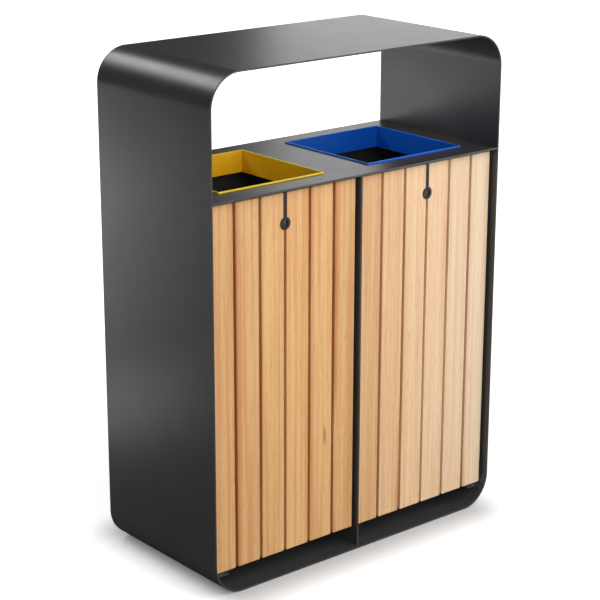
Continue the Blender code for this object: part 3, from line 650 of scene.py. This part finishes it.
def slat_larch(label, number, index):
    """Each slat is its own board: its pith, tone and red heartwood differ, and so does its painted
    sheen.
    """
    low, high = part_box(f"slat_{label}_{number}")
    side = 1 if math.sin(1.9 * index) > 0 else -1
    pith = ((low.x + high.x) / 2 + side * (0.11 + 0.05 * math.sin(2.4 * index)),
            low.y + 0.05 + 0.04 * math.cos(1.7 * index))
    edge = high.x if side > 0 else low.x
    tone = 1.0 + 0.045 * math.sin(5.1 * index)
    # Painted sheen: boards of the right-hand door grow paler to the right, standing in for a gloss veil
    # of light.
    painted_sheen = max(0.0, (index - SLAT_COUNT) / SLAT_COUNT)
    flush = 0.6 + 0.4 * math.sin(3.3 * index)
    return larch(f"larch_{label}_{number}", pith, edge, 3.7 * index, tone, painted_sheen, flush)


def galvanised():
    """Dull hot-dip zinc: large faint crystals with their own tone and gloss."""
    shader = Shader("galvanised", (0.48, 0.50, 0.51), 0.42, 0.2)
    crystals = shader.cells(shader.place, 85.0)
    warped = shader.noise(shader.place, 60.0, 4.0, 0.6)
    grey = shader.split(crystals["Color"])[0]
    fine = shader.maths("MULTIPLY", warped, 0.4)
    mixed = shader.maths("ADD", shader.maths("MULTIPLY", grey, 0.6), fine)
    greys = [(0.2, (0.42, 0.44, 0.46)), (0.8, (0.62, 0.64, 0.65))]
    shader.set("Base Color", shader.ramp(mixed, greys))
    shader.set("Roughness", shader.ranged(mixed, 0.2, 0.8, 0.34, 0.56))
    shader.set("Normal", shader.bump(warped, 0.0002, 0.2))
    return shader.material


def satin_steel(name, colour, roughness, grain):
    """Brushed steel: fine scratches across the grain axis, and smudges."""
    shader = Shader(name, colour, roughness, 1.0)
    scratch = shader.noise(shader.stretched(grain), 1.0, 3.0, 0.6)
    smudge = shader.noise(shader.place, 60.0, 4.0, 0.6)
    darker = tuple(0.72 * part for part in colour)
    shader.set("Base Color", shader.mix(shader.ranged(scratch, 0.3, 0.7, 0.0, 1.0), darker, colour))
    shader.set("Roughness", shader.ranged(smudge, 0.3, 0.7, roughness - 0.07, roughness + 0.10))
    shader.set("Normal", shader.bump(scratch, 0.00003, 0.4))
    return shader.material


def moulded(name, colour, roughness, size):
    """Dull nylon or rubber with a fine moulded texture."""
    shader = Shader(name, colour, roughness)
    texture = shader.noise(shader.place, size, 3.0, 0.6)
    lighter = tuple(1.6 * part + 0.004 for part in colour)
    shader.set("Base Color", shader.mix(shader.ranged(texture, 0.4, 0.8, 0.0, 1.0), colour, lighter))
    shader.set("Roughness", shader.ranged(texture, 0.3, 0.7, roughness - 0.06, roughness + 0.08))
    shader.set("Normal", shader.bump(texture, 0.0001, 0.3))
    return shader.material


ANTHRACITE = powder_coat("anthracite", (0.052, 0.0515, 0.0530), 0.36)
CHUTE_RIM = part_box("chute_left")[1].z
YELLOW = powder_coat("yellow", (0.92, 0.49, 0.006), 0.34, CHUTE_RIM)
BLUE = powder_coat("blue", (0.003, 0.108, 0.60), 0.34, CHUTE_RIM)
ZINC = galvanised()
STAINLESS = satin_steel("stainless", (0.30, 0.31, 0.33), 0.34, (900.0, 60.0, 900.0))
BLACK_STEEL = satin_steel("black_steel", (0.066, 0.062, 0.058), 0.46, (60.0, 900.0, 900.0))
GUNMETAL = satin_steel("gunmetal", (0.14, 0.132, 0.122), 0.42, (900.0, 60.0, 900.0))
BRIGHT_STEEL = satin_steel("bright_steel", (0.55, 0.56, 0.57), 0.30, (700.0, 700.0, 90.0))
NYLON = moulded("nylon", (0.018, 0.018, 0.019), 0.5, 700.0)
RUBBER = moulded("rubber", (0.014, 0.014, 0.014), 0.75, 400.0)


# The body of the bin.


def make_outer_frame():
    """The loop of sheet with finely divided bends, rounded sheet edges and four anchor holes."""
    low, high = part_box("outer_frame")
    depth = high.y - low.y
    section = rounded_rectangle(FRAME_SHEET / 2, depth / 2, SHEET_EDGE, EDGE_STEP)
    profile = [(across - FRAME_SHEET / 2, along) for across, along in section]
    half_x = (high.x - low.x) / 2
    half_z = (high.z - low.z) / 2
    matrix = upright(0, 0, half_z)
    name = "outer_frame_finished"
    mesh = swept_rectangle(name, profile, half_x, half_z, FRAME_CORNER, matrix, True, BEND_STEP)
    piece = new_piece(name, mesh, ANTHRACITE)
    middle = FRAME_SHEET / 2
    bore(piece, ANCHOR_RADIUS, 3 * FRAME_SHEET, [(x, y, middle) for x, y in ANCHOR_PLACES])
    smooth(piece)
    stand_for(piece, "outer_frame")


def clip_mesh(corner, away):
    """An L-shaped clip: one leg lies on the rear panel, along away, and the other runs forwards."""
    leg, sheet = CLIP_LEG, CLIP_SHEET
    outline = [(0, 0), (leg, 0), (leg, sheet), (sheet, sheet), (sheet, leg), (0, leg)]
    axes = (Vector(away), Vector(FRONT), Vector(away).cross(Vector(FRONT)))
    matrix = Matrix.Translation(corner) @ Matrix(axes).transposed().to_4x4()
    return plate_mesh("clip", [outline], CLIP_LENGTH, matrix)


def make_rear_fixings():
    """Clips on the side walls, on the base and under the deck, and the rivets through the panel."""
    low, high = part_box("rear_panel")
    inner_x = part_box("outer_frame")[1].x - FRAME_SHEET - HAIR
    deck_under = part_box("deck_plate")[0].z - HAIR
    corners = [((side * inner_x, z), (-side, 0, 0)) for _, side in SIDES for z in REAR_CLIP_Z]
    for x in REAR_CLIP_X:
        corners += [((x, FRAME_SHEET + HAIR), UP), ((x, deck_under), DOWN)]
    clips = []
    rivets = []
    for (x, z), away in corners:
        clips.append(clip_mesh((x, low.y - HAIR, z), away))
        rivets.append(Vector((x, high.y, z)) + CLIP_RIVET * Vector(away))
    piece = new_piece("rear_clips", merged("rear_clips", clips), ANTHRACITE)
    soften(piece, THIN_EDGE, segments=2)
    smooth(piece)
    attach(piece, "cabinet")
    fasteners("rear_rivets", RIVET, rivets, BACK, "cabinet", STAINLESS)


def make_chute(label, material):
    """A square sleeve with rounded rims that narrows a little downwards."""
    node = f"chute_{label}"
    low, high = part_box(node)
    height = high.z - low.z
    section = rounded_rectangle(CHUTE_WALL / 2, height / 2, CHUTE_EDGE, EDGE_STEP)
    profile = []
    for across, along in section:
        taper = CHUTE_TAPER * (height / 2 - along) / height
        profile.append((across - CHUTE_WALL / 2 - taper, along))
    matrix = Matrix.Translation((low + high) / 2)
    half_x = (high.x - low.x) / 2
    half_y = (high.y - low.y) / 2
    name = node + "_finished"
    mesh = swept_rectangle(name, profile, half_x, half_y, LEAST_CORNER, matrix, True, EDGE_STEP)
    piece = new_piece(name, mesh, material)
    smooth(piece)
    stand_for(piece, node)


def make_bracket_fixings(label, side):
    """Rivets from the deck bracket into the side wall, and bolts up into the deck."""
    low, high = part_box(f"deck_bracket_{label}")
    inside = side * (max(abs(low.x), abs(high.x)) - BRACKET_SHEET)
    rivets = [(inside, y, low.z + BRACKET_RIVET_RISE) for y in BRACKET_RIVET_Y]
    name = f"bracket_rivets_{label}"
    fasteners(name, RIVET, rivets, (-side, 0, 0), "cabinet", STAINLESS)
    bolts = [(inside - side * DECK_BOLT_INSET, y, high.z - BRACKET_SHEET) for y in DECK_BOLT_Y]
    name = f"deck_bolts_{label}"
    fasteners(name, BOLT, bolts, DOWN, "cabinet", ZINC, ROUND_STEP)


# The liners.


def curl(centre, radius, start, end):
    """A small arc in a liner's section."""
    return arc(centre, radius, start, end, EDGE_STEP / 2)


def ribs(face, upwards):
    """The pressed ribs of one skin of a liner's wall, from the bottom up or from the top down."""
    points = [
        (face + out * RIB_DEPTH, z + along * RIB_HALF)
        for z in RIB_HEIGHTS
        for along, out in RIB_SECTION
    ]
    return points if upwards else points[::-1]


def make_liner(label):
    """A galvanised bin: bent floor edge, ribbed walls and a rim curled outwards and down."""
    node = f"liner_{label}"
    low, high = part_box(node)
    out = LINER_RIM + LINER_WALL
    half_x = (high.x - low.x) / 2 - out
    half_y = (high.y - low.y) / 2 - out
    bend = LINER_FLOOR_BEND
    wall = LINER_WALL
    under = high.z - wall
    foot = under - LINER_RIM_DROP
    profile = curl((-bend, low.z + bend), bend, -90, 0)
    profile += ribs(0, True)
    profile += curl((wall, under - wall), wall, 180, 90)
    profile += curl((LINER_RIM - wall, under - wall), wall, 90, 0)
    profile += curl((LINER_RIM + wall / 2, foot), wall / 2, 180, 360)
    profile += curl((LINER_RIM - wall, under - wall), 2 * wall, 0, 90)
    profile += curl((wall, under - wall), 2 * wall, 90, 180)
    profile += ribs(-wall, False)
    profile += curl((-bend, low.z + bend), bend - wall, 0, -90)
    matrix = Matrix.Translation(((low.x + high.x) / 2, (low.y + high.y) / 2, 0))
    name = node + "_finished"
    mesh = swept_rectangle(name, profile, half_x, half_y, LINER_CORNER, matrix, False, ROUND_STEP)
    piece = new_piece(name, mesh, ZINC)
    smooth(piece)
    stand_for(piece, node)


def make_drop_handle(label, position):
    """A bent wire handle that hangs from two lugs."""
    node = f"drop_handle_{label}_{position}"
    low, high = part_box(node)
    half = HANDLE_HALF
    right = [(HANDLE_PIN, 0), (half - HANDLE_BEND, 0)]
    right += arc((half - HANDLE_BEND, -HANDLE_BEND), HANDLE_BEND, 90, 0, COARSE_STEP)[1:]
    right += arc((half - HANDLE_BEND, HANDLE_BEND - HANDLE_DROP), HANDLE_BEND, 0, -90, COARSE_STEP)
    path = right + [(-y, z) for y, z in reversed(right)]
    curve = bpy.data.curves.new(node, "CURVE")
    curve.dimensions = "3D"
    curve.bevel_depth = WIRE_RADIUS
    curve.bevel_resolution = 6
    curve.use_fill_caps = True
    spline = curve.splines.new("POLY")
    spline.points.add(len(path) - 1)
    for point, (y, z) in zip(spline.points, path):
        point.co = ((low.x + high.x) / 2, HANDLE_Y + y, HANDLE_Z + z, 1)
    piece = new_piece(node + "_finished", curve_mesh(node + "_finished", curve), BRIGHT_STEEL)
    smooth(piece)
    stand_for(piece, node)


def make_stand_fixings(label):
    """Bolts through the feet of a liner stand."""
    low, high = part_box(f"liner_stand_{label}")
    inset_x, inset_y = STAND_BOLT_INSET
    places = [
        (x, y, low.z + STAND_SHEET)
        for x in (low.x + inset_x, high.x - inset_x)
        for y in (low.y + inset_y, high.y - inset_y)
    ]
    name = f"stand_bolts_{label}"
    fasteners(name, BOLT, places, UP, "cabinet", ZINC, ROUND_STEP)


# The doors.


def door_middle(label):
    """The X of a door's middle, where its lock sits."""
    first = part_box(f"slat_{label}_1")[0]
    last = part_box(f"slat_{label}_{SLAT_COUNT}")[1]
    return (first.x + last.x) / 2


def notched(centre_x, sign, outer, low_z, high_z):
    """A slat beside the lock; sign is the side of the lock that it is on."""
    slot_end = math.sqrt(NOTCH_RADIUS**2 - NOTCH_HALF**2)
    start = math.degrees(math.asin(slot_end / NOTCH_RADIUS))
    end = -math.degrees(math.acos(SLAT_GAP / 2 / NOTCH_RADIUS))
    outline = [(SLAT_GAP / 2, low_z), (outer, low_z), (outer, high_z), (NOTCH_HALF, high_z)]
    outline += arc((0, LOCK_Z), NOTCH_RADIUS, start, end, FINE_STEP)
    return [(centre_x + sign * x, z) for x, z in outline]


def make_slat(label, number, centre_x, pivot_x, material):
    """A larch slat with rounded edges; beside the lock it is notched, at the hinge it is bored."""
    node = f"slat_{label}_{number}"
    low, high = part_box(node)
    outline = [(low.x, low.z), (high.x, low.z), (high.x, high.z), (low.x, high.z)]
    if number == SLAT_COUNT // 2:
        outline = notched(centre_x, -1, centre_x - low.x, low.z, high.z)
    if number == SLAT_COUNT // 2 + 1:
        outline = notched(centre_x, 1, high.x - centre_x, low.z, high.z)
    name = node + "_finished"
    matrix = upright(0, (low.y + high.y) / 2, 0)
    piece = new_piece(name, plate_mesh(name, [outline], high.y - low.y, matrix), material)
    soften(piece, SLAT_ROUND, segments=4)
    if low.x < pivot_x < high.x:
        bake_modifiers(piece)
        bore(piece, BUSH_HOLE, 2 * BUSH_HOLE_DEPTH, [(pivot_x, PIVOT_Y, z) for z in (low.z, high.z)])
    smooth(piece)
    stand_for(piece, node)


def make_slat_screws(label):
    """Three screws into each slat, from behind, through the door frame."""
    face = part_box(f"slat_{label}_1")[1].y + JOINT_GAP + DOOR_FRAME_SHEET
    places = []
    for number in range(1, SLAT_COUNT + 1):
        low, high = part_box(f"slat_{label}_{number}")
        places += [((low.x + high.x) / 2, face, z) for z in SCREW_HEIGHTS]
    body = BODY_OF[f"door_frame_{label}"]
    fasteners(f"slat_screws_{label}", SCREW, places, BACK, body, BRIGHT_STEEL)


def make_hinges(label, pivot_x):
    """The pins, which stay with the cabinet, and the bushes, which turn with the door."""
    for end, axis in (("upper", DOWN), ("lower", UP)):
        for kind, rings, material in (("pin", HINGE_PIN, STAINLESS), ("bush", HINGE_BUSH, NYLON)):
            node = f"hinge_{kind}_{end}_{label}"
            low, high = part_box(node)
            start = (pivot_x, PIVOT_Y, high.z if axis == DOWN else low.z)
            turned(node, rings, start, axis, material, wrap=kind == "bush")


def make_plate(node, outlines, thickness, matrix, material):
    """A flat piece with soft edges that stands for a node."""
    name = node + "_finished"
    piece = new_piece(name, plate_mesh(name, outlines, thickness, matrix), material)
    soften(piece, PLAIN_EDGE)
    smooth(piece)
    stand_for(piece, node)


def make_lock_plate(label, centre_x):
    """The keyhole-shaped plate: a bored disc, and the strip above it."""
    node = f"lock_plate_{label}"
    low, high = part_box(node)
    start = math.degrees(math.acos(STRIP_HALF / DISC_RADIUS))
    outline = [(STRIP_HALF, high.z), (-STRIP_HALF, high.z)]
    outline += arc((0, LOCK_Z), DISC_RADIUS, 180 - start, 360 + start, FINE_STEP)
    hole = arc((0, LOCK_Z), BORE_RADIUS, 0, 360, HUB_STEP)[:-1]
    matrix = upright(centre_x, low.y + PLATE_SHEET / 2, 0)
    make_plate(node, [outline, hole], PLATE_SHEET, matrix, BLACK_STEEL)


def make_lock_body(label, centre_x):
    """The barrel, with a collar level with the backs of the slats."""
    node = f"lock_body_{label}"
    low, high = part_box(node)
    length = high.y - low.y
    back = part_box(f"slat_{label}_1")[1].y - low.y
    front = back - COLLAR_HEIGHT
    rings = ((BORE_RADIUS, 0.0), (BARREL_RADIUS, 0.0), (BARREL_RADIUS, front),
             (COLLAR_RADIUS - COLLAR_EDGE, front), (COLLAR_RADIUS, front + COLLAR_EDGE),
             (COLLAR_RADIUS, back - COLLAR_EDGE), (COLLAR_RADIUS - COLLAR_EDGE, back),
             (BARREL_RADIUS, back), (BARREL_RADIUS, length - BARREL_EDGE),
             (BARREL_RADIUS - BARREL_EDGE, length), (BORE_RADIUS, length))
    turned(node, rings, (centre_x, low.y, LOCK_Z), BACK, BRIGHT_STEEL, wrap=True)


def make_lock_core(label, centre_x):
    """The core with its stud in front and the spindle for the cam behind."""
    node = f"lock_core_{label}"
    low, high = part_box(node)
    length = high.y - low.y
    face = STUD[-1][1]
    back = length - SPINDLE_LENGTH
    rings = (*STUD, (CORE_RADIUS - CORE_EDGE, face), (CORE_RADIUS, face + CORE_EDGE),
             (CORE_RADIUS, back), (SPINDLE_RADIUS, back), (SPINDLE_RADIUS, length - CORE_EDGE),
             (SPINDLE_RADIUS - CORE_EDGE, length))
    turned(node, rings, (centre_x, low.y, LOCK_Z), BACK, GUNMETAL, step=FINE_STEP)


def make_lock_cam(label, centre_x):
    """The long cam on the spindle, and its nut."""
    node = f"lock_cam_{label}"
    low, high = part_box(node)
    hub = arc((0, 0), CAM_HUB, -100, 100, HUB_STEP)
    tip = arc((-CAM_LENGTH, 0), CAM_TIP, 90, 270, TIP_STEP)
    hole = arc((0, 0), CAM_HOLE, 0, 360, COARSE_STEP)[:-1]
    matrix = upright(centre_x, low.y + CAM_SHEET / 2, LOCK_Z)
    make_plate(node, [hub + tip, hole], CAM_SHEET, matrix, ZINC)
    place = [(centre_x, high.y, LOCK_Z)]
    name = f"cam_nut_{label}"
    fasteners(name, NUT, place, BACK, BODY_OF[node], ZINC, FINE_STEP)


def make_buffer(label):
    """A domed rubber buffer, and the screw behind it."""
    node = f"door_buffer_{label}"
    low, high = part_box(node)
    length = high.y - low.y
    place = ((low.x + high.x) / 2, high.y, (low.z + high.z) / 2)
    rings = BUFFER_FOOT + tuple((radius, length + height) for radius, height in BUFFER_DOME)
    turned(node, rings, place, FRONT, RUBBER)
    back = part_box(f"door_stop_{label}")[0].y + DOOR_STOP_SHEET
    behind = [(place[0], back, place[2])]
    name = f"buffer_screw_{label}"
    fasteners(name, SCREW, behind, BACK, "cabinet", BRIGHT_STEEL)


def make_door(label, first_slat):
    """A door with its lock and hinges, and what it closes against; first_slat counts the boards."""
    centre_x = door_middle(label)
    low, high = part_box(f"hinge_pin_upper_{label}")
    pivot_x = (low.x + high.x) / 2
    for number in range(1, SLAT_COUNT + 1):
        make_slat(label, number, centre_x, pivot_x, slat_larch(label, number, first_slat + number))
    refined(f"door_frame_{label}", PLAIN_EDGE, ANTHRACITE)
    refined(f"hinge_bracket_{label}", PLAIN_EDGE, ANTHRACITE)
    refined(f"lock_keeper_{label}", THICK_EDGE, ANTHRACITE)
    refined(f"door_stop_{label}", PLAIN_EDGE, ANTHRACITE)
    make_slat_screws(label)
    make_hinges(label, pivot_x)
    for make_part in (make_lock_plate, make_lock_body, make_lock_core, make_lock_cam):
        make_part(label, centre_x)
    make_buffer(label)


def make_bay(label, side, chute_material, first_slat):
    """One half of the bin; side is -1 for the left and 1 for the right."""
    refined(f"deck_bracket_{label}", PLAIN_EDGE, ANTHRACITE)
    make_bracket_fixings(label, side)
    make_chute(label, chute_material)
    make_liner(label)
    refined(f"liner_stand_{label}", PLAIN_EDGE, ZINC)
    make_stand_fixings(label)
    for position in ("outer", "inner"):
        refined(f"handle_bracket_{label}_{position}", THIN_EDGE, ZINC)
        make_drop_handle(label, position)
    make_door(label, first_slat)


# The studio.

# Name, place, the point it faces, width, height and radiance of each softbox.
SOFTBOXES = (
    ("key", (3.2, -3.4, 2.6), (0.1, -0.2, 0.6), 3.8, 3.4, 2.45),
    ("front", (-1.3, -3.1, 1.85), (0.0, 0.0, 0.8), 2.4, 2.0, 3.1),
    ("low_front", (-0.2, -3.2, 0.6), (0.0, 0.0, 0.2), 2.0, 0.7, 4.0),
    ("top_front", (0.4, -2.3, 3.3), (0.0, -0.2, 0.5), 2.4, 1.8, 2.9),
    ("low_right", (1.5, -1.5, 0.35), (0.3, -0.2, 0.6), 0.8, 0.6, 2.5),
    ("back_left", (-0.70, 1.40, 0.72), (0.4, 0.0, 1.1), 0.6, 0.5, 3.6),
    ("left", (-1.04, 1.30, 0.38), (-0.45, 0.1, 0.6), 0.4, 0.6, 2.2),
    ("low_left", (-0.80, 0.65, 0.16), (-0.45, 0.15, 0.2), 0.3, 0.2, 1.6),
    ("right", (3.0, 0.2, 0.60), (0.45, 0.0, 0.5), 2.0, 0.8, 1.2),
    ("far_left", (-3.0, 0.2, 0.60), (-0.45, 0.0, 0.5), 2.0, 0.8, 0.7),
    ("back_high", (-1.0, 2.3, 3.0), (-0.3, 0.0, 1.2), 1.8, 0.6, 9.5),
    ("back_right", (2.33, 1.86, 1.82), (0.2, 0.0, 1.1), 1.5, 0.95, 2.2),
)
WORLD_LIGHT = 0.03
FLOOR_BOUNCE = 0.18
FLOOR_TONE = (0.66, 0.68, 0.70)

# Where the bin stands, and how the floor's own glow grows with the distance from there.
FOOTPRINT = (0.37, 0.2175)
CONTACT_GLOW = (0.0, 0.15, 0.06, 0.70)
FAR_GLOW = (0.3, 2.0, 0.0, 0.7)


def add_softbox(name, place, target, width, height, radiance):
    """A rectangular light that the camera doesn't see."""
    data = bpy.data.lights.new(name, "AREA")
    data.shape = "RECTANGLE"
    data.size = width
    data.size_y = height
    data.energy = radiance * math.pi * width * height
    lamp = bpy.data.objects.new(name, data)
    lamp.location = place
    lamp.rotation_euler = (Vector(target) - Vector(place)).to_track_quat("-Z", "Y").to_euler()
    lamp.visible_camera = False
    bpy.context.scene.collection.objects.link(lamp)


def floor_material():
    """Pale and evenly lit to look at, greyer in what it sends back at the bin, like a studio sweep."""
    shader = Shader("floor", FLOOR_TONE, 0.8)
    seen = shader.tree.nodes.new("ShaderNodeLightPath").outputs["Is Camera Ray"]
    shader.set("Base Color", shader.mix(seen, (FLOOR_BOUNCE,) * 3, FLOOR_TONE))
    shader.set("Specular IOR Level", 0.0)
    squares = []
    for along, half in zip(shader.split(shader.place), FOOTPRINT):
        beyond = shader.maths("SUBTRACT", shader.maths("ABSOLUTE", along), half)
        outside = shader.maths("MAXIMUM", beyond, 0.0)
        squares.append(shader.maths("MULTIPLY", outside, outside))
    distance = shader.maths("SQRT", shader.maths("ADD", *squares))
    near = shader.ranged(distance, *CONTACT_GLOW, smooth_steps=True)
    glow = shader.maths("ADD", near, shader.ranged(distance, *FAR_GLOW, smooth_steps=True))
    shader.set("Emission Color", (1, 1, 1, 1))
    shader.set("Emission Strength", shader.maths("MULTIPLY", seen, glow))
    return shader.material


def make_floor():
    """The floor, which belongs to the setting and not to the bin."""
    bpy.ops.mesh.primitive_plane_add(size=FLOOR_SIZE, location=(0, 0, 0))
    floor = bpy.context.object
    floor.name = "floor"
    floor.data.materials.append(floor_material())


def make_backdrop():
    """White to look at, and almost dark to the bin, which the softboxes light."""
    world = bpy.data.worlds.new("studio")
    bpy.context.scene.world = world
    world.use_nodes = True
    tree = world.node_tree
    backdrop = tree.nodes["Background"]
    backdrop.inputs["Color"].default_value = (1, 1, 1, 1)
    seen = tree.nodes.new("ShaderNodeLightPath").outputs["Is Camera Ray"]
    strength = tree.nodes.new("ShaderNodeMapRange")
    strength.inputs["To Min"].default_value = WORLD_LIGHT
    tree.links.new(seen, strength.inputs["Value"])
    tree.links.new(strength.outputs["Result"], backdrop.inputs["Strength"])


def make_camera():
    """A camera with a long lens, and a picture that isn't toned."""
    data = bpy.data.cameras.new("camera")
    data.sensor_width = SENSOR
    data.lens = FOCAL_LENGTH
    data.clip_end = FARTHEST
    camera = bpy.data.objects.new("camera", data)
    camera.location = CAMERA_PLACE
    camera.rotation_euler = CAMERA_TURN
    bpy.context.scene.collection.objects.link(camera)
    bpy.context.scene.camera = camera
    bpy.context.scene.view_settings.view_transform = "Standard"


make_outer_frame()
refined("deck_plate", THICK_EDGE, ANTHRACITE)
refined("centre_divider", THICK_EDGE, ANTHRACITE)
refined("rear_panel", PLAIN_EDGE, ANTHRACITE)
make_rear_fixings()
make_bay("left", -1, YELLOW, 0)
make_bay("right", 1, BLUE, SLAT_COUNT)
make_floor()
make_backdrop()
for softbox in SOFTBOXES:
    add_softbox(*softbox)
make_camera()
